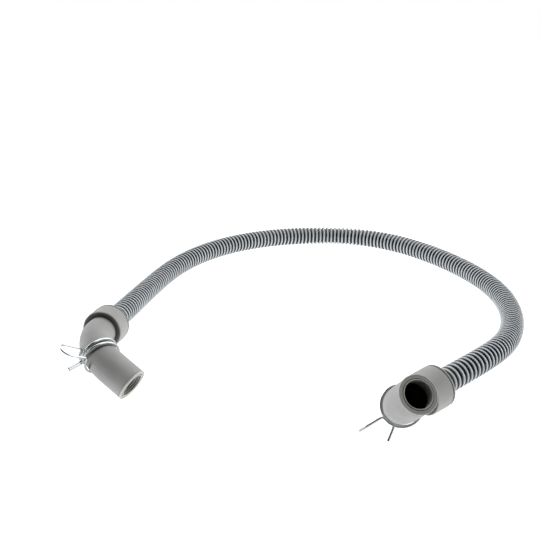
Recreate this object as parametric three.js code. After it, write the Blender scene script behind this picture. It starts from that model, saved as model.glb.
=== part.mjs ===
// Washing machine filter hose: a corrugated hose with a moulded rubber elbow cuff on each end
// and a spring clamp of doubled wire round each cuff. It lies on a flat surface, +Z up, in mm.
// The origin is on that surface, under the middle of the two cuffs with their clamps.
import * as THREE from "three";

// Hose
const hoseDiameter = 24.5;
const hoseWall = 1.2;
const hoseSides = 10;
const hoseSteps = 50;

// Elbow cuff, measured along its centreline from the rear face of the collar
const collarDiameter = 40;
const collarTaper = 0.3;
const collarLength = 22.7;
const collarEdge = 0.9;
const lipWidth = 2.1;
const lipStep = 0.1;
const lipGrooveWidth = 0.9;
const lipGrooveDepth = 0.9;
const socketGap = 0.4;
const socketChamfer = 0.5;
const socketDepth = 20.2;
const hoseEndGap = 0.5;
const neckDiameter = 29.2;
const neckLength = 5.5;
const neckFillet = 0.9;
const bendRadius = 40.4;
const bendAngle = THREE.MathUtils.degToRad(77.2);
const outletLength = 27.6;
const outletDiameter = 32.1;
const rimEdge = 0.75;
const rimBeadHeight = 0.3;
const rimBeadWidth = 1.7;
const passageDiameter = 21;

// Mouth bore that slides over a spigot: a thin lip and a groove at its rim, and sealing ribs inside
const boreDiameter = 24.6;
const boreDepth = 24;
const mouthLipHeight = 0.65;
const mouthLipWidth = 0.7;
const rimGrooveWidth = 0.6;
const rimGrooveDepth = 0.9;
const ribHeight = 0.5;
const ribWidth = 1.1;
const ribTopWidth = 0.3;
const ribPitch = 2.1;
const firstRibDepth = 2;
const ribCount = 5;

// Spring clamp of doubled wire
const wireDiameter = 2.2;
const clampGap = 0.75;
const rootBend = 2.6;
const loopReach = 42.3;
const loopWidth = 14.6;
const loopRootWidth = 13;
const loopLean = 3;
const tailReach = 31.8;
const tailGap = 0.3;
const tailLean = 1.5;
const earAngle = THREE.MathUtils.degToRad(37);

// How finely the wire is swept, and the cuff turned and bent
const wireSides = 8;
const wireSteps = 124;
const ringPoints = 22;
const cuffSegments = 30;
const bendSteps = 9;

// Where each cuff lies: the middle of the collar's rear face, the heading of its axis from +Y,
// the rise of that axis, the roll of the bend about it, and its clamp's place and turn.
const leftCuff = {
  name: "left",
  at: [-148.2, 94.05, 37.25],
  heading: 169.06,
  rise: 4.88,
  roll: 149.3,
  clampFromMouth: 44.5,
  clampTurn: -4,
};
const rightCuff = {
  name: "right",
  at: [163.8, -5.75, 23.05],
  heading: 128.6,
  rise: -3.78,
  roll: -133.1,
  clampFromMouth: 50.4,
  clampTurn: 0,
};

// The hose's route over the surface, from the left collar round to the right one
const hoseRoute = [
  [-137.7, 152.3, 31.8],
  [-132.0, 186.4, 28.5],
  [-125.6, 220.3, 25.6],
  [-117.7, 254.2, 23.5],
  [-107.1, 287.4, 22.3],
  [-92.3, 318.7, 21.5],
  [-73.3, 347.6, 20.7],
  [-50.4, 373.7, 19.8],
  [-24.3, 396.7, 18.3],
  [4.5, 416.0, 16.5],
  [35.9, 431.0, 14.6],
  [69.3, 440.6, 13.0],
  [103.8, 443.1, 12.2],
  [137.9, 437.0, 12.2],
  [169.8, 423.2, 12.3],
  [197.9, 402.7, 12.3],
  [221.8, 377.5, 12.2],
  [242.2, 349.3, 12.2],
  [259.3, 319.3, 12.2],
  [272.8, 287.3, 12.4],
  [281.7, 253.8, 13.0],
  [285.3, 219.2, 14.1],
  [283.8, 184.6, 15.4],
  [277.7, 150.4, 16.8],
  [267.1, 117.4, 18.3],
  [252.3, 86.1, 21.2],
  [233.1, 57.4, 24.7],
  [209.2, 32.1, 25.8],
];

const mouthDistance = collarLength + neckLength + bendRadius * bendAngle + outletLength;
const bendStart = collarLength + neckLength;
const bendEnd = bendStart + bendRadius * bendAngle;

const greyRubber = new THREE.MeshStandardMaterial({ color: 0x8f9090, roughness: 0.6, metalness: 0 });
const blueGreyPlastic = new THREE.MeshStandardMaterial({ color: 0x98a2aa, roughness: 0.45, metalness: 0 });
const zincWire = new THREE.MeshStandardMaterial({ color: 0xc9ccce, roughness: 0.25, metalness: 1 });

// The cuff's outside radius: slimmer at the neck, and growing round the bend to the outlet.
function cuffRadius(distance) {
  const share = THREE.MathUtils.clamp((distance - bendStart) / (bendEnd - bendStart), 0, 1);
  return THREE.MathUtils.lerp(neckDiameter, outletDiameter, share) / 2;
}

// The bend's angle so far, at a distance along the centreline.
function turnAt(distance) {
  return THREE.MathUtils.clamp((distance - bendStart) / bendRadius, 0, bendAngle);
}

// A point of the straight cuff, with Y along its axis, carried onto the bent centreline.
function bendPoint(point) {
  const turn = turnAt(point.y);
  const straight = Math.min(point.y, bendStart);
  const beyond = Math.max(point.y - bendEnd, 0);
  const across = bendRadius * (1 - Math.cos(turn)) + beyond * Math.sin(turn);
  const along = straight + bendRadius * Math.sin(turn) + beyond * Math.cos(turn);
  return point.set(across + point.x * Math.cos(turn), along - point.x * Math.sin(turn), point.z);
}

// A rounded corner of the profile: a quarter of an ellipse between two points.
function roundCorner(centreRadius, centreDistance, reachRadius, reachDistance, fromAngle, toAngle) {
  const corner = new THREE.EllipseCurve(
    centreRadius, centreDistance, reachRadius, reachDistance, fromAngle, toAngle, toAngle < fromAngle,
  );
  return corner.getPoints(3);
}

// The cuff's section as (radius, distance) points, up the outside and back down the bore.
function cuffProfile() {
  const collar = collarDiameter / 2;
  const front = collar - collarTaper / 2;
  const neck = neckDiameter / 2;
  const mouth = cuffRadius(mouthDistance);
  const bore = boreDiameter / 2;
  const socket = hoseDiameter / 2 + socketGap;
  const passage = passageDiameter / 2;
  const grooveEnd = lipWidth + lipGrooveWidth;
  const grooveSlope = lipGrooveWidth / 4;
  const lip = collar - lipStep;
  const fillet = neckFillet;
  const points = [
    new THREE.Vector2(socket + socketChamfer, 0),
    ...roundCorner(lip - collarEdge, collarEdge, collarEdge, collarEdge, -Math.PI / 2, 0),
    new THREE.Vector2(lip, lipWidth),
    new THREE.Vector2(collar - lipGrooveDepth, lipWidth + grooveSlope),
    new THREE.Vector2(collar - lipGrooveDepth, grooveEnd - grooveSlope),
    new THREE.Vector2(collar, grooveEnd),
    ...roundCorner(front - collarEdge, collarLength - collarEdge, collarEdge, collarEdge, 0, Math.PI / 2),
    ...roundCorner(neck + fillet, collarLength + fillet, fillet, fillet, 1.5 * Math.PI, Math.PI),
  ];
  for (let step = 0; step <= bendSteps; step += 1) {
    const distance = THREE.MathUtils.lerp(bendStart, bendEnd, step / bendSteps);
    points.push(new THREE.Vector2(cuffRadius(distance), distance));
  }
  const bead = mouth + rimBeadHeight;
  const beadStart = mouthDistance - rimBeadWidth;
  const grooveBottom = mouthDistance - rimGrooveDepth;
  const innerLip = bore - mouthLipHeight;
  points.push(
    new THREE.Vector2(mouth, beadStart - rimBeadHeight),
    new THREE.Vector2(bead, beadStart),
    ...roundCorner(bead - rimEdge, mouthDistance - rimEdge, rimEdge, rimEdge, 0, Math.PI / 2),
    new THREE.Vector2(bore + rimGrooveWidth, mouthDistance),
    new THREE.Vector2(bore + rimGrooveWidth / 2, grooveBottom),
    new THREE.Vector2(bore, mouthDistance),
    new THREE.Vector2(innerLip, mouthDistance),
    new THREE.Vector2(innerLip, mouthDistance - mouthLipWidth),
    new THREE.Vector2(bore, mouthDistance - mouthLipWidth - mouthLipHeight),
  );
  for (let rib = 0; rib < ribCount; rib += 1) {
    const ribTop = mouthDistance - firstRibDepth - ribPitch * rib;
    const flank = (ribWidth - ribTopWidth) / 2;
    points.push(
      new THREE.Vector2(bore, ribTop),
      new THREE.Vector2(bore - ribHeight, ribTop - flank),
      new THREE.Vector2(bore - ribHeight, ribTop - ribWidth + flank),
      new THREE.Vector2(bore, ribTop - ribWidth),
    );
  }
  points.push(
    new THREE.Vector2(bore, mouthDistance - boreDepth),
    new THREE.Vector2(passage, mouthDistance - boreDepth - (bore - passage)),
  );
  for (let step = bendSteps; step >= 0; step -= 1) {
    const distance = THREE.MathUtils.lerp(bendStart, bendEnd, step / bendSteps);
    points.push(new THREE.Vector2(passage, distance));
  }
  points.push(
    new THREE.Vector2(passage, socketDepth),
    new THREE.Vector2(socket, socketDepth),
    new THREE.Vector2(socket, socketChamfer),
    new THREE.Vector2(socket + socketChamfer, 0),
  );
  return points;
}

// The cuff turned straight on a lathe and then bent along its centreline.
function cuffGeometry() {
  const geometry = new THREE.LatheGeometry(cuffProfile(), cuffSegments);
  const positions = geometry.getAttribute("position");
  const point = new THREE.Vector3();
  for (let index = 0; index < positions.count; index += 1) {
    bendPoint(point.fromBufferAttribute(positions, index));
    positions.setXYZ(index, point.x, point.y, point.z);
  }
  geometry.computeVertexNormals();
  return geometry;
}

// One clamp ring fits over either cuff, so it clears the wider of the two places.
const ringRadius =
  Math.max(
    cuffRadius(mouthDistance - leftCuff.clampFromMouth),
    cuffRadius(mouthDistance - rightCuff.clampFromMouth),
  ) + clampGap + wireDiameter / 2;

// A point in the clamp's own frame: angle round the ring, distance from its axis, place along it.
function polarPoint(angle, radius, along, sideways = 0) {
  const x = radius * Math.cos(angle) - sideways * Math.sin(angle);
  const y = radius * Math.sin(angle) + sideways * Math.cos(angle);
  return new THREE.Vector3(x, y, along);
}

// One strand of the doubled wire, from its cut tail round the ring to the end of the loop.
// The side is 1 or -1: the strands lie apart along the ring's axis, widest at the loop.
// The loop leans a little towards the collar, and the tails away from it.
function wireStrand(side) {
  const tailHalf = (wireDiameter + tailGap) / 2;
  const rootHalf = loopRootWidth / 2;
  const loopHalf = loopWidth / 2;
  const rootCentre = Math.sqrt((ringRadius + rootBend) ** 2 - rootBend ** 2);
  const rootAngle = Math.asin(rootBend / (ringRadius + rootBend));
  const tailAngle = 2 * Math.PI + earAngle;
  const points = [];
  for (const share of [1, 0.66, 0.33, 0]) {
    const radius = THREE.MathUtils.lerp(rootCentre, tailReach, share);
    points.push(polarPoint(tailAngle, radius, side * tailHalf + tailLean * share));
  }
  for (const share of [0.33, 0.67]) {
    const turn = share * (Math.PI / 2 - rootAngle);
    const radius = rootCentre - rootBend * Math.sin(turn);
    const sideways = -rootBend * (1 - Math.cos(turn));
    points.push(polarPoint(tailAngle, radius, side * tailHalf, sideways));
  }
  for (let index = 0; index <= ringPoints; index += 1) {
    const share = index / ringPoints;
    const angle = THREE.MathUtils.lerp(tailAngle - rootAngle, rootAngle, share);
    points.push(polarPoint(angle, ringRadius, side * THREE.MathUtils.lerp(tailHalf, rootHalf, share)));
  }
  for (const share of [0.67, 0.33]) {
    const turn = share * (Math.PI / 2 - rootAngle);
    const radius = rootCentre - rootBend * Math.sin(turn);
    points.push(polarPoint(0, radius, side * rootHalf, rootBend * (1 - Math.cos(turn))));
  }
  const legEnd = loopReach - loopHalf;
  const leaned = (radius) => (loopLean * (radius - rootCentre)) / (loopReach - rootCentre);
  const legMiddle = (rootCentre + legEnd) / 2;
  points.push(polarPoint(0, rootCentre, side * rootHalf));
  points.push(polarPoint(0, legMiddle, side * (rootHalf + loopHalf) / 2 - leaned(legMiddle)));
  for (const turn of [0, 30, 60]) {
    const angle = THREE.MathUtils.degToRad(turn);
    const radius = legEnd + loopHalf * Math.sin(angle);
    points.push(polarPoint(0, radius, side * loopHalf * Math.cos(angle) - leaned(radius)));
  }
  return points;
}

// A round section for a wire or a tube, with as many sides as asked, and an optional hole.
function roundSection(radius, sides, holeRadius = 0) {
  const corners = (size) =>
    Array.from({ length: sides }, (unused, index) => {
      const angle = (2 * Math.PI * index) / sides;
      return new THREE.Vector2(size * Math.cos(angle), size * Math.sin(angle));
    });
  const section = new THREE.Shape(corners(radius));
  if (holeRadius > 0) section.holes.push(new THREE.Path(corners(holeRadius)));
  return section;
}

function sweep(section, route, steps) {
  route.arcLengthDivisions = 3000;
  return new THREE.ExtrudeGeometry(section, { steps, bevelEnabled: false, extrudePath: route });
}

function clampGeometry() {
  const loopTip = polarPoint(0, loopReach, -loopLean);
  const points = [...wireStrand(1), loopTip, ...wireStrand(-1).reverse()];
  const route = new THREE.CatmullRomCurve3(points, false, "centripetal");
  return sweep(roundSection(wireDiameter / 2, wireSides), route, wireSteps);
}

// A cuff group has Y along the collar's axis, away from the hose, and X towards the bend's inside.
function placeCuff(place) {
  const group = new THREE.Group();
  group.position.set(...place.at);
  group.rotation.set(
    THREE.MathUtils.degToRad(place.rise),
    THREE.MathUtils.degToRad(place.roll),
    THREE.MathUtils.degToRad(place.heading),
    "ZXY",
  );
  const cuff = new THREE.Mesh(cuffGeometry(), greyRubber);
  cuff.name = place.name + "_elbow_cuff";
  group.add(cuff, placeClamp(place));
  return group;
}

// A clamp's frame has Z along the cuff's centreline and X to the outside of the bend.
function placeClamp(place) {
  const distance = mouthDistance - place.clampFromMouth;
  const turn = turnAt(distance);
  const seat = new THREE.Group();
  seat.position.copy(bendPoint(new THREE.Vector3(0, distance, 0)));
  const outward = new THREE.Vector3(-Math.cos(turn), Math.sin(turn), 0);
  const along = new THREE.Vector3(Math.sin(turn), Math.cos(turn), 0);
  const across = new THREE.Vector3().crossVectors(along, outward);
  seat.quaternion.setFromRotationMatrix(new THREE.Matrix4().makeBasis(outward, across, along));
  const clamp = new THREE.Mesh(clampGeometry(), zincWire);
  clamp.name = place.name + "_wire_clamp";
  clamp.rotation.z = THREE.MathUtils.degToRad(place.clampTurn);
  seat.add(clamp);
  return seat;
}

// A point on the axis of a placed collar; a negative distance is behind its rear face.
function onCollarAxis(cuffGroup, distance) {
  return cuffGroup.localToWorld(new THREE.Vector3(0, distance, 0));
}

function hoseMesh(leftGroup, rightGroup) {
  const insideEnd = socketDepth - hoseEndGap;
  const straight = [insideEnd, insideEnd / 2, 0, -hoseDiameter / 2, -hoseDiameter];
  const points = [
    ...straight.map((distance) => onCollarAxis(leftGroup, distance)),
    ...hoseRoute.map((point) => new THREE.Vector3(...point)),
    ...straight.map((distance) => onCollarAxis(rightGroup, distance)).reverse(),
  ];
  const route = new THREE.CatmullRomCurve3(points, false, "centripetal");
  const section = roundSection(hoseDiameter / 2, hoseSides, hoseDiameter / 2 - hoseWall);
  const hose = new THREE.Mesh(sweep(section, route, hoseSteps), blueGreyPlastic);
  hose.name = "corrugated_hose";
  return hose;
}

const filterHose = new THREE.Group();
const leftGroup = placeCuff(leftCuff);
const rightGroup = placeCuff(rightCuff);
filterHose.add(leftGroup, rightGroup);
filterHose.updateMatrixWorld(true);
filterHose.add(hoseMesh(leftGroup, rightGroup));

export default filterHose;
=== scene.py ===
# %% [markdown]
# # Washing machine filter hose
# A corrugated plastic hose joins two moulded rubber elbow cuffs, and a loose spring clamp of doubled
# wire sits round each cuff. All three forms follow a rule: the hose is a rib repeated along a route,
# the cuff is a turned section that is then bent, and the clamp is one round wire along a path. So each
# piece is made from its rule, in metres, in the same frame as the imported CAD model.

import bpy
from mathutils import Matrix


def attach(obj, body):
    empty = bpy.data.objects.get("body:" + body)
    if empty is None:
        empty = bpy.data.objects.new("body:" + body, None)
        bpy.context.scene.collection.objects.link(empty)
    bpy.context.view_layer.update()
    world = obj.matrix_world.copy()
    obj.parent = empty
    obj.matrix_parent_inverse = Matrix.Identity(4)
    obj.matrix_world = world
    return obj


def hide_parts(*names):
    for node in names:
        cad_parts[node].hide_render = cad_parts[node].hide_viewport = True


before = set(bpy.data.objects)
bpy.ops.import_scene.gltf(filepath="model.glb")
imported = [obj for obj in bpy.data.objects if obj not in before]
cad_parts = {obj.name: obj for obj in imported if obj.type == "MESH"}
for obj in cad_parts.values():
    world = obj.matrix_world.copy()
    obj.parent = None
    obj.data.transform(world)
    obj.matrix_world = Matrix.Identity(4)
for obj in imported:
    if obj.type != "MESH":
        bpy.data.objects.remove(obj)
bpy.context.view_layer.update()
print("CAD nodes:", sorted(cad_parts))

# %% Modules
import math

import bmesh
import bpy
from mathutils import Matrix, Vector

scene = bpy.context.scene
scene.view_settings.view_transform = "Standard"
print("view transform:", scene.view_settings.view_transform)

# %% [markdown]
# ## Camera
# The view of the hose is a long look from the front, a little over 20 degrees down. The lens and the
# place were solved from the even spacing of the ribs and from the two equal cuffs, so they are plain
# numbers here. The camera's pitch is a turn about X, counted from a level view.

# %% Camera
camera_pitch = math.radians(21.36)
camera_data = bpy.data.cameras.new("camera")
camera_data.lens = 49.71
camera_data.sensor_width = 36
camera = bpy.data.objects.new("camera", camera_data)
camera.location = (0.0132, -0.5902, 0.3625)
camera.rotation_euler = (math.radians(90) - camera_pitch, 0, 0)
scene.collection.objects.link(camera)
scene.camera = camera
print("camera at", [round(value, 4) for value in camera.location])

# %% [markdown]
# ## Where the cuffs lie
# Each cuff is modelled once, straight up the Y axis of its own small frame, and then put in its place.
# The place is the middle of the collar's rear face, where the hose goes in, with three turns: the
# heading of the collar's axis, its rise from the floor, and the roll that says where the bend points.

# %% Places of the two cuffs
cuff_places = {
    "left": {"at": (-0.1482, 0.09405, 0.03725), "heading": 169.06, "rise": 4.88, "roll": 149.3},
    "right": {"at": (0.1638, -0.00575, 0.02305), "heading": 128.6, "rise": -3.78, "roll": -133.1},
}


def cuff_frame(side):
    """The matrix that puts a straight cuff's frame in its place on the floor."""
    place = cuff_places[side]
    turns = [
        Matrix.Rotation(math.radians(place["heading"]), 4, "Z"),
        Matrix.Rotation(math.radians(place["rise"]), 4, "X"),
        Matrix.Rotation(math.radians(place["roll"]), 4, "Y"),
    ]
    return Matrix.Translation(place["at"]) @ turns[0] @ turns[1] @ turns[2]


for side in cuff_places:
    axis = cuff_frame(side).to_3x3() @ Vector((0, 1, 0))
    print(side, "collar axis", [round(value, 3) for value in axis])

# %% [markdown]
# ## The hose's route
# A real drain hose is springy: it leaves each collar straight, keeps one wide bow and lies on the
# floor only along its far side, because the collars hold its ends up. The route is a short list of
# points about 35 mm apart. They were not chosen by hand: a separate program worked them out from the
# bow as it is seen and from the spacing of the ribs. A centripetal Catmull-Rom curve passes through
# every point without loops or overshoot, so the points stay easy to read and to move.

# %% Points of the route
socket_depth = 0.0202
hose_end_gap = 0.0005
hose_diameter = 0.0245
inside_end = socket_depth - hose_end_gap
straight_parts = [inside_end, inside_end / 2, 0, -hose_diameter / 2, -hose_diameter]
bow_points = [
    (-0.1377, 0.1523, 0.0318),
    (-0.1320, 0.1864, 0.0285),
    (-0.1256, 0.2203, 0.0256),
    (-0.1177, 0.2542, 0.0235),
    (-0.1071, 0.2874, 0.0223),
    (-0.0923, 0.3187, 0.0215),
    (-0.0733, 0.3476, 0.0207),
    (-0.0504, 0.3737, 0.0198),
    (-0.0243, 0.3967, 0.0183),
    (0.0045, 0.4160, 0.0165),
    (0.0359, 0.4310, 0.0146),
    (0.0693, 0.4406, 0.0130),
    (0.1038, 0.4431, 0.0122),
    (0.1379, 0.4370, 0.0122),
    (0.1698, 0.4232, 0.0123),
    (0.1979, 0.4027, 0.0123),
    (0.2218, 0.3775, 0.0122),
    (0.2422, 0.3493, 0.0122),
    (0.2593, 0.3193, 0.0122),
    (0.2728, 0.2873, 0.0124),
    (0.2817, 0.2538, 0.0130),
    (0.2853, 0.2192, 0.0141),
    (0.2838, 0.1846, 0.0154),
    (0.2777, 0.1504, 0.0168),
    (0.2671, 0.1174, 0.0183),
    (0.2523, 0.0861, 0.0212),
    (0.2331, 0.0574, 0.0247),
    (0.2092, 0.0321, 0.0258),
]
left_end = [cuff_frame("left") @ Vector((0, distance, 0)) for distance in straight_parts]
right_end = [cuff_frame("right") @ Vector((0, distance, 0)) for distance in straight_parts]
route_points = left_end + [Vector(point) for point in bow_points] + right_end[::-1]
print(len(route_points), "points on the route")

# %% A smooth curve through the points


def smooth_route(points, steps):
    """Points on the centripetal Catmull-Rom curve through the given ones, so many to each span."""
    padded = [points[0] * 2 - points[1], *points, points[-1] * 2 - points[-2]]
    route = []
    for before, start, end, after in zip(padded, padded[1:], padded[2:], padded[3:]):
        first = math.sqrt((start - before).length)
        middle = math.sqrt((end - start).length)
        last = math.sqrt((after - end).length)
        leaving = (start - before) / first - (end - before) / (first + middle) + (end - start) / middle
        arriving = (end - start) / middle - (after - start) / (middle + last) + (after - end) / last
        leaving *= middle
        arriving *= middle
        for step in range(steps):
            share = step / steps
            square = (end - start) * 3 - leaving * 2 - arriving
            cube = (start - end) * 2 + leaving + arriving
            route.append(start + leaving * share + square * share**2 + cube * share**3)
    route.append(points[-1].copy())
    return route


hose_route = smooth_route(route_points, steps=12)
hose_length = sum((b - a).length for a, b in zip(hose_route, hose_route[1:]))
print("hose length", round(hose_length, 4), "m")

# %% [markdown]
# ## Helpers for curves and node trees
# Geometry Nodes turn a line into a solid: Resample Curve spaces the rings, Set Curve Radius shapes
# them, and Curve to Mesh sweeps a circle. A tree is easier to read when each node is made in one
# call, with what feeds it, so a small helper does that for geometry and material trees alike.

# %% Helpers for node trees


def add_node(tree, kind, feeds=None, **settings):
    """A node with its settings, fed by other sockets or by plain values."""
    node = tree.nodes.new(kind)
    for name, value in settings.items():
        setattr(node, name, value)
    for key, value in (feeds or {}).items():
        socket = node.inputs[key]
        if isinstance(value, bpy.types.NodeSocket):
            tree.links.new(value, socket)
        else:
            socket.default_value = value
    return node


def line_object(name, points):
    """A curve object with one open spline of straight spans through the points."""
    line = bpy.data.curves.new(name, "CURVE")
    line.dimensions = "3D"
    spline = line.splines.new("POLY")
    spline.points.add(len(points) - 1)
    for control, point in zip(spline.points, points):
        control.co = (*point, 1)
    made = bpy.data.objects.new(name, line)
    scene.collection.objects.link(made)
    return made


def run_tree(line, tree, values, name):
    """Runs a node tree on a line with its named inputs, and keeps the result as a plain mesh."""
    modifier = line.modifiers.new("shape", "NODES")
    modifier.node_group = tree
    for item in tree.interface.items_tree:
        if item.in_out == "INPUT" and item.name in values:
            modifier[item.identifier] = values[item.name]
    evaluated = line.evaluated_get(bpy.context.evaluated_depsgraph_get())
    mesh = bpy.data.meshes.new_from_object(evaluated)
    mesh.name = name
    made = bpy.data.objects.new(name, mesh)
    scene.collection.objects.link(made)
    bpy.data.objects.remove(line)
    return made


def count_triangles(made):
    return sum(len(face.vertices) - 2 for face in made.data.polygons)


def clamped(value):
    """The value, held between 0 and 1."""
    return min(max(value, 0), 1)


def between(start, end, share):
    return start + (end - start) * share


print("helpers ready")

# %% [markdown]
# ## Hose finish
# The hose is moulded in a blue-grey plastic with a soft gloss. Its crests keep that pale blue-grey
# with a faint random mottle, while painted shade, nearly black, covers its flanks and grooves. The
# node tree that makes the ribs writes each ring's height into an attribute, so the finish can follow
# the ribs exactly and never slides on them.

# %% Hose plastic


def plain_material(name, roughness, metallic=0.0):
    """A material with one Principled shader, and its tree ready for more nodes."""
    material = bpy.data.materials.new(name)
    material.use_nodes = True
    shader = material.node_tree.nodes["Principled BSDF"]
    shader.inputs["Roughness"].default_value = roughness
    shader.inputs["Metallic"].default_value = metallic
    return material, material.node_tree, shader


def noise(tree, scale, detail, where=None):
    """A noise texture on the piece's own coordinates."""
    place = where or add_node(tree, "ShaderNodeTexCoord").outputs["Object"]
    return add_node(
        tree, "ShaderNodeTexNoise", {"Vector": place, "Scale": scale, "Detail": detail}
    ).outputs["Fac"]


def ramp(tree, fac, stops):
    """A colour ramp from (position, colour) stops."""
    node = add_node(tree, "ShaderNodeValToRGB", {"Fac": fac})
    elements = node.color_ramp.elements
    while len(elements) < len(stops):
        elements.new(0.5)
    for element, (position, colour) in zip(elements, stops):
        element.position = position
        element.color = (*colour, 1)
    return node.outputs["Color"]


hose_plastic, tree, shader = plain_material("hose_plastic", 0.3)
shader.inputs["Specular IOR Level"].default_value = 0.8
rib_height = add_node(tree, "ShaderNodeAttribute", attribute_name="rib_height").outputs["Fac"]
mottle = noise(tree, 90, 5)
mottle_shift = add_node(tree, "ShaderNodeMath", {0: mottle, 1: 0.5}, operation="SUBTRACT").outputs[0]
rib_shade_and_mottle = add_node(
    tree, "ShaderNodeMath", {0: mottle_shift, 1: 0.20, 2: rib_height}, operation="MULTIPLY_ADD"
).outputs[0]
# The ramp paints the flanks and grooves nearly black as painted shade; only the tops of the crests
# keep the plastic's pale blue-grey, and the mottle shifts the colour at random.
hose_colour = ramp(
    tree,
    rib_shade_and_mottle,
    [
        (0.0, (0.008, 0.012, 0.016)),
        (0.68, (0.022, 0.029, 0.037)),
        (0.91, (0.630, 0.680, 0.710)),
        (1.0, (0.700, 0.740, 0.765)),
    ],
)
tree.links.new(hose_colour, shader.inputs["Base Color"])
gloss = add_node(
    tree, "ShaderNodeMapRange", {"Value": noise(tree, 300, 3), "To Min": 0.24, "To Max": 0.38}
).outputs["Result"]
tree.links.new(gloss, shader.inputs["Roughness"])
grain = add_node(
    tree, "ShaderNodeBump", {"Height": noise(tree, 1500, 3), "Strength": 0.25, "Distance": 0.0001}
).outputs["Normal"]
tree.links.new(grain, shader.inputs["Normal"])
print("hose finish has", len(tree.nodes), "nodes")

# %% [markdown]
# ## The corrugated hose
# The ribs of such a hose are one shape, repeated every 5.65 mm: a rounded crest, steep flanks and a
# narrow groove. That is what Geometry Nodes do best. The route is resampled to twelve rings for each
# rib, the rest of a division by twelve says where in the rib a ring lies, and a drawn Float Curve
# turns that into a height. A second, smooth sweep makes the bore. Its end rings open to the outer
# wall's radius, so that merging by distance joins the two walls into one shell. At the route's far
# end the outer wall stops on the last ring of a rib, 24 micrometres larger than the bore's end ring.
# That is past the merging distance of 20, so a hairline seam stays open there, inside the collar.

# %% Node tree for a ribbed hose
hose_tree = bpy.data.node_groups.new("ribbed hose", "GeometryNodeTree")
hose_sockets = [
    ("Route", "NodeSocketGeometry"),
    ("Rib count", "NodeSocketInt"),
    ("Rings per rib", "NodeSocketInt"),
    ("Crest radius", "NodeSocketFloat"),
    ("Groove depth", "NodeSocketFloat"),
    ("Bore radius", "NodeSocketFloat"),
    ("Sides", "NodeSocketInt"),
    ("Finish", "NodeSocketMaterial"),
]
for label, kind in hose_sockets:
    hose_tree.interface.new_socket(label, in_out="INPUT", socket_type=kind)
hose_tree.interface.new_socket("Mesh", in_out="OUTPUT", socket_type="NodeSocketGeometry")
given = add_node(hose_tree, "NodeGroupInput").outputs
result = add_node(hose_tree, "NodeGroupOutput")
print("hose tree takes", [label for label, kind in hose_sockets])

# %% Height of each ring
ring_index = add_node(hose_tree, "GeometryNodeInputIndex").outputs[0]
in_rib = add_node(
    hose_tree,
    "ShaderNodeMath",
    {0: ring_index, 1: given["Rings per rib"]},
    operation="FLOORED_MODULO",
).outputs[0]
rib_share = add_node(
    hose_tree, "ShaderNodeMath", {0: in_rib, 1: given["Rings per rib"]}, operation="DIVIDE"
).outputs[0]
rib_shape = add_node(hose_tree, "ShaderNodeFloatCurve", {"Value": rib_share})
drawn = rib_shape.mapping.curves[0]
drawn.points[0].location = (0, 0)
drawn.points[1].location = (1, 0)
corners = [(0.165, 0.02), (0.25, 0.72), (0.335, 0.92), (0.42, 0.99)]
for place, height in corners:
    drawn.points.new(place, height)
    drawn.points.new(1 - place, height)
for point in drawn.points:
    point.handle_type = "VECTOR"
rib_shape.mapping.update()
print("rib drawn with", len(drawn.points), "corners")

# %% Outer wall
ring_count = add_node(
    hose_tree,
    "ShaderNodeMath",
    {0: given["Rib count"], 1: given["Rings per rib"]},
    operation="MULTIPLY",
).outputs[0]
outer_line = add_node(
    hose_tree, "GeometryNodeResampleCurve", {"Curve": given["Route"], "Count": ring_count}
).outputs["Curve"]
kept_height = add_node(
    hose_tree,
    "GeometryNodeStoreNamedAttribute",
    {"Geometry": outer_line, "Name": "rib_height", "Value": rib_shape.outputs[0]},
    data_type="FLOAT",
    domain="POINT",
).outputs["Geometry"]
below_crest = add_node(
    hose_tree, "ShaderNodeMath", {0: 1.0, 1: rib_shape.outputs[0]}, operation="SUBTRACT"
).outputs[0]
dip = add_node(
    hose_tree, "ShaderNodeMath", {0: below_crest, 1: given["Groove depth"]}, operation="MULTIPLY"
).outputs[0]
outer_radius = add_node(
    hose_tree, "ShaderNodeMath", {0: given["Crest radius"], 1: dip}, operation="SUBTRACT"
).outputs[0]
circle = add_node(
    hose_tree, "GeometryNodeCurvePrimitiveCircle", {"Resolution": given["Sides"], "Radius": 1.0}
).outputs["Curve"]


def sweep_circle(line, radius):
    """Sweeps the unit circle along a line whose radius is given for each ring."""
    sized = add_node(
        hose_tree, "GeometryNodeSetCurveRadius", {"Curve": line, "Radius": radius}
    ).outputs[0]
    swept = add_node(hose_tree, "GeometryNodeCurveToMesh", {"Curve": sized, "Profile Curve": circle})
    if "Scale" in swept.inputs:
        ring_radius = add_node(hose_tree, "GeometryNodeInputRadius").outputs[0]
        hose_tree.links.new(ring_radius, swept.inputs["Scale"])
    return swept.outputs["Mesh"]


outer_wall = sweep_circle(kept_height, outer_radius)
print("outer wall swept")

# %% Bore and the join of the two walls
bore_line = add_node(
    hose_tree, "GeometryNodeResampleCurve", {"Curve": given["Route"], "Count": given["Rib count"]}
).outputs["Curve"]
along = add_node(hose_tree, "GeometryNodeSplineParameter").outputs["Factor"]
from_middle = add_node(
    hose_tree, "ShaderNodeMath", {0: along, 1: 0.5, 2: 0.49999}, operation="COMPARE"
).outputs[0]
end_radius = add_node(
    hose_tree,
    "ShaderNodeMath",
    {0: given["Crest radius"], 1: given["Groove depth"]},
    operation="SUBTRACT",
).outputs[0]
inner_radius = add_node(
    hose_tree, "ShaderNodeMix", {0: from_middle, 2: end_radius, 3: given["Bore radius"]}
).outputs[0]
bore_wall = add_node(
    hose_tree, "GeometryNodeFlipFaces", {"Mesh": sweep_circle(bore_line, inner_radius)}
).outputs[0]
both_walls = add_node(hose_tree, "GeometryNodeJoinGeometry")
hose_tree.links.new(bore_wall, both_walls.inputs[0])
hose_tree.links.new(outer_wall, both_walls.inputs[0])
closed = add_node(
    hose_tree,
    "GeometryNodeMergeByDistance",
    {"Geometry": both_walls.outputs[0], "Distance": 0.00002},
).outputs[0]
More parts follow.
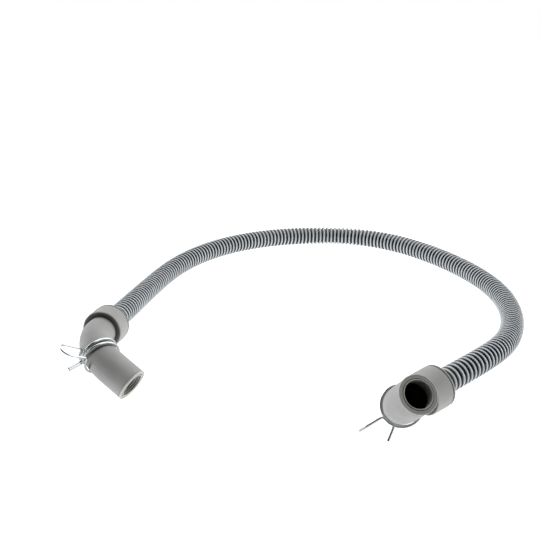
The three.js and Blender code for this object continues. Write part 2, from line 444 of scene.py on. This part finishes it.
smooth = add_node(hose_tree, "GeometryNodeSetShadeSmooth", {0: closed}).outputs[0]
real = add_node(hose_tree, "GeometryNodeRealizeInstances", {"Geometry": smooth}).outputs[0]
finished = add_node(
    hose_tree, "GeometryNodeSetMaterial", {"Geometry": real, "Material": given["Finish"]}
).outputs[0]
hose_tree.links.new(finished, result.inputs["Mesh"])
print("hose tree has", len(hose_tree.nodes), "nodes")

# %% Make the hose
rib_pitch = 0.00565
hose_values = {
    "Rib count": round(hose_length / rib_pitch),
    "Rings per rib": 12,
    "Crest radius": hose_diameter / 2,
    "Groove depth": 0.0024,
    "Bore radius": 0.0093,
    "Sides": 32,
    "Finish": hose_plastic,
}
hose = run_tree(line_object("route", hose_route), hose_tree, hose_values, "ribbed_hose")
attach(hose, "root")
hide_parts("corrugated_hose")
print("hose:", hose_values["Rib count"], "ribs,", count_triangles(hose), "triangles")

# %% [markdown]
# ## Cuff finish
# The cuffs are moulded in a matt mid-grey rubber. Up close such rubber is never one colour: it has
# faint clouds and a fine satin grain. Light and shade are painted into its colour as well: a pale
# painted highlight along the moulded edges, the rim and the bore's sealing ribs, and painted shade,
# nearly black, in grooves, on the collar's front face, beside the clamp's strands and deep in the
# bore.
# The cuff's mesh carries one number for that, from -1 at a painted highlight to 1 in full painted
# shade, and the finish reads it.

# %% Cuff rubber
cuff_rubber, tree, shader = plain_material("cuff_rubber", 0.55)
clouds = noise(tree, 45, 6)
cuff_colour = ramp(
    tree,
    clouds,
    [(0.30, (0.420, 0.422, 0.417)), (0.55, (0.462, 0.464, 0.458)), (0.75, (0.498, 0.499, 0.492))],
)
# The painted light attribute: above 0 it darkens the colour as painted shade, below 0 it mixes in a
# warm pale grey as a painted highlight.
painted_light = add_node(tree, "ShaderNodeAttribute", attribute_name="painted_light").outputs["Fac"]
shade = ramp(
    tree,
    painted_light,
    [
        (0.0, (1.0, 1.0, 1.0)),
        (0.3, (0.62, 0.59, 0.53)),
        (0.6, (0.30, 0.29, 0.27)),
        (1.0, (0.02, 0.018, 0.015)),
    ],
)
shaded = add_node(
    tree,
    "ShaderNodeMix",
    {0: 1.0, 6: cuff_colour, 7: shade},
    data_type="RGBA",
    blend_type="MULTIPLY",
).outputs[2]
highlight_share = add_node(
    tree, "ShaderNodeMapRange", {"Value": painted_light, "From Min": 0, "From Max": -1, "To Max": 0.8}
).outputs["Result"]
highlighted = add_node(
    tree, "ShaderNodeMix", {0: highlight_share, 6: shaded, 7: (0.78, 0.76, 0.71, 1)}, data_type="RGBA"
).outputs[2]
tree.links.new(highlighted, shader.inputs["Base Color"])
satin = add_node(
    tree, "ShaderNodeMapRange", {"Value": noise(tree, 220, 4), "To Min": 0.46, "To Max": 0.64}
).outputs["Result"]
tree.links.new(satin, shader.inputs["Roughness"])
skin = add_node(
    tree, "ShaderNodeBump", {"Height": noise(tree, 1800, 4), "Strength": 0.35, "Distance": 0.0001}
).outputs["Normal"]
tree.links.new(skin, shader.inputs["Normal"])
print("cuff finish has", len(tree.nodes), "nodes")

# %% [markdown]
# ## The section of a cuff
# Seen cut open, the cuff is a thick collar over the hose's end, a slimmer neck, a bend and a straight
# outlet with a ribbed bore that grips a spigot. A lathe needs only that section, as rows of radius,
# distance along the centreline and painted light (painted shade above 0, a painted highlight below
# 0): up the outside and back down the inside. Small arcs round the edges, because a moulded edge is
# what catches the light.

# %% Sizes of a cuff
collar_radius = 0.020
collar_taper = 0.00015
collar_length = 0.0227
collar_edge = 0.0009
lip_radius = 0.0199
lip_width = 0.0021
lip_edge = 0.0008
lip_groove = 0.0009
lip_groove_depth = 0.0010
socket_radius = 0.0123
socket_edge = 0.0009
neck_radius = 0.0146
neck_length = 0.0055
neck_fillet = 0.0007
bend_radius = 0.0404
bend_angle = math.radians(77.2)
bend_rings = 110
passage_radius = 0.0105
outlet_length = 0.0276
outlet_radius = 0.01605
bend_start = collar_length + neck_length
bend_end = bend_start + bend_radius * bend_angle
mouth = bend_end + outlet_length
print("centreline of a cuff:", round(mouth, 5), "m")

# %% Sizes of a cuff's mouth
bead_radius = 0.01635
bead_width = 0.0017
bead_edge = 0.00075
rim_sink = 0.0002
rim_groove_radius = 0.0128
rim_groove_depth = 0.0010
mouth_lip_radius = 0.0120
mouth_lip_round = 0.0004
bore_radius = 0.0123
bore_depth = 0.024
seal_count = 5
first_seal = 0.0020
seal_spacing = 0.0021
seal_width = 0.0011
seal_height = 0.0005
print("bore:", round(bore_radius * 2000, 2), "mm wide,", seal_count, "sealing ribs")

# %% Section of a cuff


def arc(radius_at, distance_at, size, start, end, painted_light, steps=7):
    """A round as (radius, distance, painted light) points, between two angles in degrees; the painted
    light is painted shade above 0 and a painted highlight below 0.
    """
    points = []
    for step in range(steps + 1):
        angle = math.radians(between(start, end, step / steps))
        points.append((radius_at + size * math.cos(angle), distance_at + size * math.sin(angle), painted_light))
    return points


def cuff_radius(distance):
    """The cuff's outside radius past its collar."""
    share = clamped((distance - bend_start) / (bend_end - bend_start))
    return between(neck_radius, outlet_radius, share)


def collar_section():
    """From the socket's edge on the rear face, round the lip and its groove, to the neck."""
    front = collar_radius - collar_taper
    groove_end = lip_width + lip_groove
    groove_radius = collar_radius - lip_groove_depth
    rear_edge = socket_radius + socket_edge
    # The third number of each point is painted light: painted shade on the rear face by the socket, in
    # the lip's groove, on the front face and down into the neck's fillet, and a faint painted
    # highlight on the rounded edges.
    points = [(rear_edge, 0.0, 0.6), (rear_edge + 0.0004, 0.0, 0.1), (lip_radius - 0.0012, 0.0, 0.0)]
    points += arc(lip_radius - lip_edge, lip_edge, lip_edge, -90, 0, -0.2)
    points += [(lip_radius, lip_width - 0.0003, 0.0), (lip_radius, lip_width - 0.0001, 0.3)]
    points += [(groove_radius, lip_width, 1.0), (groove_radius, groove_end - 0.0002, 1.0)]
    points += [(collar_radius - 0.0001, groove_end, 0.65), (collar_radius, groove_end + 0.0003, 0.4)]
    points += [(collar_radius, groove_end + 0.0008, 0.0), (front, collar_length - 0.0012, 0.0)]
    points += arc(front - collar_edge, collar_length - collar_edge, collar_edge, 0, 90, -0.1)
    points += [(front - 0.0012, collar_length, 0.6), (neck_radius + 0.0024, collar_length, 0.7)]
    points += [(neck_radius + 0.0011, collar_length, 0.8)]
    points += arc(neck_radius + neck_fillet, collar_length + neck_fillet, neck_fillet, 270, 180, 0.8)
    points += [(neck_radius, collar_length + 0.0013, 0.1)]
    return points


def outside_section():
    """From the rear face up the collar, the neck and the bend to the bead at the mouth."""
    points = collar_section()
    for step in range(bend_rings + 1):
        distance = between(bend_start, bend_end, step / bend_rings)
        points.append((cuff_radius(distance), distance, 0.0))
    # At the mouth the bead has painted shade at its foot and a painted highlight along its rounded
    # edge.
    bead_start = mouth - bead_width
    points += [(outlet_radius, bead_start - 0.0007, 0.0), (outlet_radius, bead_start - 0.0003, 0.35)]
    points += [(bead_radius - 0.0001, bead_start, 0.0), (bead_radius, bead_start + 0.0004, -0.1)]
    points += arc(bead_radius - bead_edge, mouth - bead_edge, bead_edge, 0, 90, -0.9)
    return points


print("bead of the rim:", round((bead_radius - outlet_radius) * 1000, 2), "mm high")

# %% Inside of the section


def bore_painted_shade(distance):
    """Painted shade in the bore: none for 4 millimetres behind the lip, rising to full painted shade
    13 millimetres down.
    """
    return clamped((mouth - distance - 0.004) / 0.009)


def rim_section():
    """From the flat rim over its groove and the thin lip into the bore."""
    face = mouth - rim_sink
    groove = mouth - rim_groove_depth
    # The rim's flat face carries a faint painted highlight, its groove painted shade, and the thin lip
    # a full painted highlight.
    points = [(0.0154, mouth, -0.4), (0.0152, face, 0.1), (0.0150, face, -0.3)]
    points += [(rim_groove_radius + 0.0004, face, -0.3), (rim_groove_radius + 0.0002, face, 0.2)]
    points += [(rim_groove_radius, groove, 1.0), (rim_groove_radius - 0.0003, groove, 1.0)]
    points += [(rim_groove_radius - 0.0004, mouth - 0.0004, 0.4)]
    points += arc(mouth_lip_radius, mouth - 0.00025, mouth_lip_round, 0, 180, -1.0, steps=8)
    points += [(mouth_lip_radius - mouth_lip_round, mouth - 0.0007, -0.2)]
    points += [(bore_radius, mouth - 0.0014, bore_painted_shade(mouth - 0.0014))]
    return points


def seal_section(top):
    """One sealing rib: a low swell with a painted highlight along it and a line of painted shade on
    each side.
    """
    bottom = top - seal_width
    points = [(bore_radius, top + 0.0005, bore_painted_shade(top) + 0.3)]
    points += [(bore_radius, top, bore_painted_shade(top) + 0.2)]
    for step in range(1, 6):
        swell = math.sin(math.pi * step / 6)
        distance = between(top, bottom, step / 6)
        painted_light = bore_painted_shade(distance) - 0.65 * swell
        points.append((bore_radius - seal_height * swell, distance, painted_light))
    points += [(bore_radius, bottom, bore_painted_shade(bottom) + 0.2)]
    return points


def inside_section():
    """From the rim down the ribbed bore and the passage to the socket for the hose."""
    points = rim_section()
    for seal in range(seal_count):
        points += seal_section(mouth - first_seal - seal_spacing * seal)
    step_end = mouth - bore_depth - (bore_radius - passage_radius)
    # Past the sealing ribs the passage and the socket are in full painted shade.
    points += [(bore_radius, mouth - bore_depth, 1.0), (passage_radius, step_end, 1.0)]
    for step in range(25):
        points.append((passage_radius, between(bend_end, bend_start, step / 24), 1.0))
    points += [(passage_radius, socket_depth, 1.0), (socket_radius, socket_depth, 1.0)]
    points += [(socket_radius, socket_edge, 0.9)]
    return points


outside = outside_section()
inside = inside_section()
print("section:", len(outside), "points outside,", len(inside), "inside")

# %% [markdown]
# ## Turning and bending the cuff
# A mould for an elbow opens along the plane of its bend and leaves a fine raised line there, so the
# lathe puts a few close steps at that plane and lifts them a few hundredths of a millimetre. Every
# point is then carried onto the bent centreline. Doing this in code, not with a Simple Deform
# modifier, keeps the collar and the outlet exactly straight. Beside the clamp the rubber also has two
# lines of painted shadow, one beside each strand of the wire on its mouth side.

# %% Lathe and bend


def turn_at(distance):
    """How far the centreline has turned at a distance along it."""
    return min(max((distance - bend_start) / bend_radius, 0), bend_angle)


def bend(across, along, sideways):
    """A point of the straight cuff, carried onto the bent centreline."""
    turn = turn_at(along)
    straight = min(along, bend_start)
    beyond = max(along - bend_end, 0)
    x = bend_radius * (1 - math.cos(turn)) + beyond * math.sin(turn) + across * math.cos(turn)
    y = straight + bend_radius * math.sin(turn) + beyond * math.cos(turn) - across * math.sin(turn)
    return Vector((x, y, sideways))


def lathe_angles(steps):
    """Even angles round the axis with no ridge, and close ones that lift each mould line."""
    angles = {360 * step / steps: 0.0 for step in range(steps)}
    for line in (0, 180):
        angles.update({line: 0.00006, (line - 1.1) % 360: 0.0, line + 1.1: 0.0})
        angles.update({(line - 0.45) % 360: 0.00005, line + 0.45: 0.00005})
    return sorted(angles.items())


print("lathe steps:", len(lathe_angles(96)))

# %% Where the clamps' strands throw painted shadow
clamp_places = {"left": (0.0445, -4), "right": (0.0504, 0)}
strand_halves = (0.00125, 0.0065)
ear_degrees = 37
# The lines of painted shadow: how far they sit towards the mouth, their half width and fade, their
# darkness, and the degrees over which they fade out near the ears.
shadow_offset = 0.0013
shadow_half_width = 0.0011
shadow_fade = 0.0006
shadow_darkness = 0.85
shadow_fade_degrees = 25


def strand_painted_shadow(distance, degrees, side):
    """Lines of painted shadow beside the clamp's two strands, a little towards the mouth, fading out
    near the ears.
    """
    from_mouth, turn_round = clamp_places[side]
    round_ring = (180 - degrees - turn_round) % 360
    half = between(*strand_halves, 1 - round_ring / (360 + ear_degrees))
    from_seat = distance - (mouth - from_mouth) - shadow_offset
    off_line = min(abs(from_seat - half), abs(from_seat + half))
    on_ring = min(round_ring / shadow_fade_degrees, (360 - round_ring) / shadow_fade_degrees, 1)
    return clamped((shadow_half_width - off_line) / shadow_fade) * shadow_darkness * on_ring


print("strands press at", [from_mouth for from_mouth, turn_round in clamp_places.values()])

# %% Mesh of a cuff
skin_start = 0.0031
skin_radius = 0.0141


def cuff_mesh(side):
    """The cuff as a closed mesh in its own frame, with the painted shade or painted highlight of each
    point as an attribute.
    """
    angles = lathe_angles(96)
    shape = bmesh.new()
    painted_light_layer = shape.verts.layers.float.new("painted_light")
    rings = []
    for index, (radius, distance, painted_light) in enumerate(outside + inside):
        outer = index < len(outside) and radius > skin_radius and distance > skin_start
        on_skin = outer and painted_light == 0.0
        ring = []
        for degrees, ridge in angles:
            reach = radius + (ridge if on_skin else 0)
            angle = math.radians(degrees)
            vertex = shape.verts.new(bend(reach * math.cos(angle), distance, reach * math.sin(angle)))
            vertex[painted_light_layer] = strand_painted_shadow(distance, degrees, side) if on_skin else painted_light
            ring.append(vertex)
        rings.append(ring)
    for low, high in zip(rings, rings[1:] + rings[:1]):
        for index in range(len(angles)):
            after = (index + 1) % len(angles)
            shape.faces.new((low[index], low[after], high[after], high[index]))
    if shape.calc_volume(signed=True) < 0:
        bmesh.ops.reverse_faces(shape, faces=shape.faces)
    print(side, "cuff volume", round(shape.calc_volume(signed=True) * 1e6, 2), "cm3")
    mesh = bpy.data.meshes.new(side + "_cuff")
    shape.to_mesh(mesh)
    shape.free()
    mesh.polygons.foreach_set("use_smooth", [True] * len(mesh.polygons))
    mesh.set_sharp_from_angle(angle=math.radians(40))
    return mesh


print("mesh of a cuff is ready to turn")

# %% Put both cuffs in place
for side in cuff_places:
    mesh = cuff_mesh(side)
    mesh.transform(cuff_frame(side))
    mesh.materials.append(cuff_rubber)
    cuff = bpy.data.objects.new(side + "_cuff", mesh)
    scene.collection.objects.link(cuff)
    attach(cuff, "root")
    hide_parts(side + "_elbow_cuff")
    print(side, "cuff:", count_triangles(cuff), "triangles")

# %% [markdown]
# ## Clamp finish
# The clamps are spring wire with a bright zinc plating. What makes a wire look like metal is what it
# mirrors, so the shader is fully metallic with a low roughness, and small changes of roughness and of
# tint along the wire keep it from looking like chrome.

# %% Zinc wire
clamp_wire, tree, shader = plain_material("clamp_wire", 0.2, metallic=1.0)
plating = ramp(
    tree,
    noise(tree, 160, 4),
    [(0.3, (0.72, 0.76, 0.78)), (0.6, (0.80, 0.83, 0.84)), (0.8, (0.84, 0.84, 0.82))],
)
tree.links.new(plating, shader.inputs["Base Color"])
drawn_wire = add_node(
    tree, "ShaderNodeMapRange", {"Value": noise(tree, 700, 3), "To Min": 0.05, "To Max": 0.14}
).outputs["Result"]
tree.links.new(drawn_wire, shader.inputs["Roughness"])
pits = add_node(
    tree, "ShaderNodeBump", {"Height": noise(tree, 2500, 2), "Strength": 0.15, "Distance": 0.00005}
).outputs["Normal"]
tree.links.new(pits, shader.inputs["Normal"])
print("wire finish has", len(tree.nodes), "nodes")

# %% [markdown]
# ## The path of a clamp's wire
# One wire is folded double. Its closed end is the wide loop of one ear, the two strands run round the
# cuff side by side, and the cut ends stand up together as the other ear. Squeezing the ears opens
# the ring. The path is written in the ring's own polar frame, one strand at a time, because the
# second strand is the first one mirrored along the ring's axis.

# %% Sizes of a clamp
wire_radius = 0.0011
clamp_gap = 0.00075
root_bend = 0.0026
loop_reach = 0.0423
loop_half = 0.0073
loop_lean = 0.003
tail_reach = 0.0318
tail_half, loop_root_half = strand_halves
tail_lean = 0.0015
ear_angle = math.radians(ear_degrees)
widest = max(cuff_radius(mouth - from_mouth) for from_mouth, turn in clamp_places.values())
ring_radius = widest + clamp_gap + wire_radius
print("ring radius", round(ring_radius, 5), "m")

# %% One strand of the wire


def polar(angle, radius, along, sideways=0.0):
    """A point in the ring's frame: angle round it, distance from its axis, place along the axis."""
    x = radius * math.cos(angle) - sideways * math.sin(angle)
    y = radius * math.sin(angle) + sideways * math.cos(angle)
    return Vector((x, y, along))


def strand(mirror):
    """One strand, from its cut tail round the ring to the side of the loop's tip."""
    root = math.sqrt((ring_radius + root_bend) ** 2 - root_bend**2)
    root_angle = math.asin(root_bend / (ring_radius + root_bend))
    tail_angle = 2 * math.pi + ear_angle
    points = []
    for share in (1, 0.66, 0.33, 0):
        along = mirror * tail_half + tail_lean * share
        points.append(polar(tail_angle, between(root, tail_reach, share), along))
    for share in (0.33, 0.67):
        turn = share * (math.pi / 2 - root_angle)
        reach = root - root_bend * math.sin(turn)
        points.append(polar(tail_angle, reach, mirror * tail_half, -root_bend * (1 - math.cos(turn))))
    for index in range(23):
        share = index / 22
        angle = between(tail_angle - root_angle, root_angle, share)
        points.append(polar(angle, ring_radius, mirror * between(tail_half, loop_root_half, share)))
    for share in (0.67, 0.33):
        turn = share * (math.pi / 2 - root_angle)
        reach = root - root_bend * math.sin(turn)
        points.append(polar(0, reach, mirror * loop_root_half, root_bend * (1 - math.cos(turn))))
    leg_end = loop_reach - loop_half
    leg = [(root, loop_root_half), ((root + leg_end) / 2, (loop_root_half + loop_half) / 2)]
    for degrees in (0, 30, 60):
        turn = math.radians(degrees)
        leg.append((leg_end + loop_half * math.sin(turn), loop_half * math.cos(turn)))
    for reach, half in leg:
        leaned = loop_lean * (reach - root) / (loop_reach - root)
        points.append(polar(0, reach, mirror * half - leaned))
    return points


wire_points = [*strand(1), polar(0, loop_reach, -loop_lean), *strand(-1)[::-1]]
print("wire path has", len(wire_points), "points")

# %% [markdown]
# ## Sweeping the wire
# The same two nodes as for the hose make the wire: Resample Curve and Curve to Mesh. The first and
# last rings are a little smaller, which leaves the small worn edge of a cut end, and Fill Caps closes
# them.

# %% Node tree for a wire
wire_tree = bpy.data.node_groups.new("round wire", "GeometryNodeTree")
for label, kind in [
    ("Path", "NodeSocketGeometry"),
    ("Rings", "NodeSocketInt"),
    ("Wire radius", "NodeSocketFloat"),
    ("Sides", "NodeSocketInt"),
    ("Finish", "NodeSocketMaterial"),
]:
    wire_tree.interface.new_socket(label, in_out="INPUT", socket_type=kind)
wire_tree.interface.new_socket("Mesh", in_out="OUTPUT", socket_type="NodeSocketGeometry")
given = add_node(wire_tree, "NodeGroupInput").outputs
result = add_node(wire_tree, "NodeGroupOutput")
line = add_node(
    wire_tree, "GeometryNodeResampleCurve", {"Curve": given["Path"], "Count": given["Rings"]}
).outputs["Curve"]
along = add_node(wire_tree, "GeometryNodeSplineParameter").outputs["Factor"]
not_end = add_node(
    wire_tree, "ShaderNodeMath", {0: along, 1: 0.5, 2: 0.49999}, operation="COMPARE"
).outputs[0]
share = add_node(wire_tree, "ShaderNodeMath", {0: not_end, 1: 0.14, 2: 0.86}, operation="MULTIPLY_ADD")
radius = add_node(
    wire_tree, "ShaderNodeMath", {0: share.outputs[0], 1: given["Wire radius"]}, operation="MULTIPLY"
).outputs[0]
sized = add_node(wire_tree, "GeometryNodeSetCurveRadius", {"Curve": line, "Radius": radius}).outputs[0]
section = add_node(
    wire_tree, "GeometryNodeCurvePrimitiveCircle", {"Resolution": given["Sides"], "Radius": 1.0}
).outputs["Curve"]
swept = add_node(
    wire_tree, "GeometryNodeCurveToMesh", {"Curve": sized, "Profile Curve": section, "Fill Caps": True}
)
if "Scale" in swept.inputs:
    ring_size = add_node(wire_tree, "GeometryNodeInputRadius").outputs[0]
    wire_tree.links.new(ring_size, swept.inputs["Scale"])
smooth = add_node(wire_tree, "GeometryNodeSetShadeSmooth", {0: swept.outputs["Mesh"]}).outputs[0]
real = add_node(wire_tree, "GeometryNodeRealizeInstances", {"Geometry": smooth}).outputs[0]
finished = add_node(
    wire_tree, "GeometryNodeSetMaterial", {"Geometry": real, "Material": given["Finish"]}
).outputs[0]
wire_tree.links.new(finished, result.inputs["Mesh"])
print("wire tree has", len(wire_tree.nodes), "nodes")

# %% Put a clamp round each cuff


def clamp_frame(side):
    """The ring's frame on its cuff: Z along the centreline, X to the outside of the bend."""
    from_mouth, turn_round = clamp_places[side]
    distance = mouth - from_mouth
    turn = turn_at(distance)
    outward = Vector((-math.cos(turn), math.sin(turn), 0))
    along = Vector((math.sin(turn), math.cos(turn), 0))
    axes = Matrix((outward, along.cross(outward), along)).transposed().to_4x4()
    seat = Matrix.Translation(bend(0, distance, 0)) @ axes
    return cuff_frame(side) @ seat @ Matrix.Rotation(math.radians(turn_round), 4, "Z")


wire_values = {"Rings": 560, "Wire radius": wire_radius, "Sides": 18, "Finish": clamp_wire}
for side in clamp_places:
    frame_of_clamp = clamp_frame(side)
    path = [frame_of_clamp @ point for point in smooth_route(wire_points, steps=8)]
    clamp = run_tree(line_object("wire", path), wire_tree, wire_values, side + "_clamp")
    clamp.data.set_sharp_from_angle(angle=math.radians(50))
    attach(clamp, "root")
    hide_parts(side + "_wire_clamp")
    print(side, "clamp:", count_triangles(clamp), "triangles")

# %% [markdown]
# ## Floor, world and light
# The hose lies in a plain white studio. The floor is white to the camera and still takes the soft
# shadow of the object, but it is greyer in mirrors, which draws the wire's dark outline. The world
# is white too, but for a dim patch on the camera's side of the room: soft light finds it above the
# camera, so that rubber facing that way turns darker, and the bright wire mirrors it to the left.

# %% Floor
floor_material, tree, shader = plain_material("floor_white", 0.9)
shader.inputs["Base Color"].default_value = (0.45, 0.45, 0.45, 1)
shader.inputs["Specular IOR Level"].default_value = 0.0
mirrored = add_node(tree, "ShaderNodeLightPath").outputs["Is Glossy Ray"]
glow_level = add_node(tree, "ShaderNodeMix", {0: mirrored, 2: 1.14, 3: 0.42}).outputs[0]
glow = add_node(tree, "ShaderNodeEmission", {"Color": (1, 1, 1, 1), "Strength": glow_level})
both = add_node(tree, "ShaderNodeAddShader", {0: shader.outputs[0], 1: glow.outputs[0]})
tree.links.new(both.outputs[0], tree.nodes["Material Output"].inputs["Surface"])
floor_mesh = bpy.data.meshes.new("floor")
floor_corners = [(-4, -0.185, 0), (4, -0.185, 0), (4, 4, 0), (-4, 4, 0)]
floor_mesh.from_pydata(floor_corners, [], [(0, 1, 2, 3)])
floor_mesh.materials.append(floor_material)
floor = bpy.data.objects.new("floor", floor_mesh)
scene.collection.objects.link(floor)
print("floor is 8 m wide")

# %% World
world = bpy.data.worlds.new("studio")
scene.world = world
world.use_nodes = True
tree = world.node_tree
direction = add_node(tree, "ShaderNodeTexCoord").outputs["Generated"]


def dim_patch(middle, start, end, dark):
    """Brightness of the world: 1, but dim within a soft-edged cone round a direction."""
    towards = add_node(
        tree, "ShaderNodeVectorMath", {0: direction, 1: middle}, operation="DOT_PRODUCT"
    ).outputs["Value"]
    return add_node(
        tree,
        "ShaderNodeMapRange",
        {"Value": towards, "From Min": start, "From Max": end, "To Min": 1.0, "To Max": dark},
        interpolation_type="SMOOTHSTEP",
    ).outputs["Result"]


path_kind = add_node(tree, "ShaderNodeLightPath").outputs
diffuse_level = dim_patch((0, -0.94, 0.34), 0.12, 0.38, dark=0.05)
mirror_level = dim_patch((-0.55, -0.83, -0.08), 0.10, 0.30, dark=0.0)
lit = add_node(
    tree, "ShaderNodeMix", {0: path_kind["Is Glossy Ray"], 2: diffuse_level, 3: mirror_level}
).outputs[0]
shows = add_node(
    tree,
    "ShaderNodeMath",
    {0: path_kind["Is Camera Ray"], 1: path_kind["Is Transmission Ray"]},
    operation="MAXIMUM",
).outputs[0]
level = add_node(tree, "ShaderNodeMix", {0: shows, 2: lit, 3: 1.0}).outputs[0]
tree.links.new(level, tree.nodes["Background"].inputs["Strength"])
tree.nodes["Background"].inputs["Color"].default_value = (1, 1, 1, 1)
print("world has", len(tree.nodes), "nodes")

# %% Lamps


def soft_box(name, at, aim, size, power):
    """A square area lamp that points at a place."""
    lamp_data = bpy.data.lights.new(name, "AREA")
    lamp_data.size = size
    lamp_data.energy = power
    lamp = bpy.data.objects.new(name, lamp_data)
    lamp.location = at
    lamp.rotation_euler = (Vector(aim) - Vector(at)).to_track_quat("-Z", "Y").to_euler()
    scene.collection.objects.link(lamp)
    return lamp


soft_box("overhead", (0.00, 0.75, 1.20), aim=(0.05, 0.15, 0), size=1.4, power=4)
soft_box("left_side", (-1.20, 0.30, 0.35), aim=(0, 0.2, 0), size=0.8, power=3)
soft_box("right_side", (1.20, 0.20, 0.35), aim=(0, 0.2, 0), size=0.8, power=3)
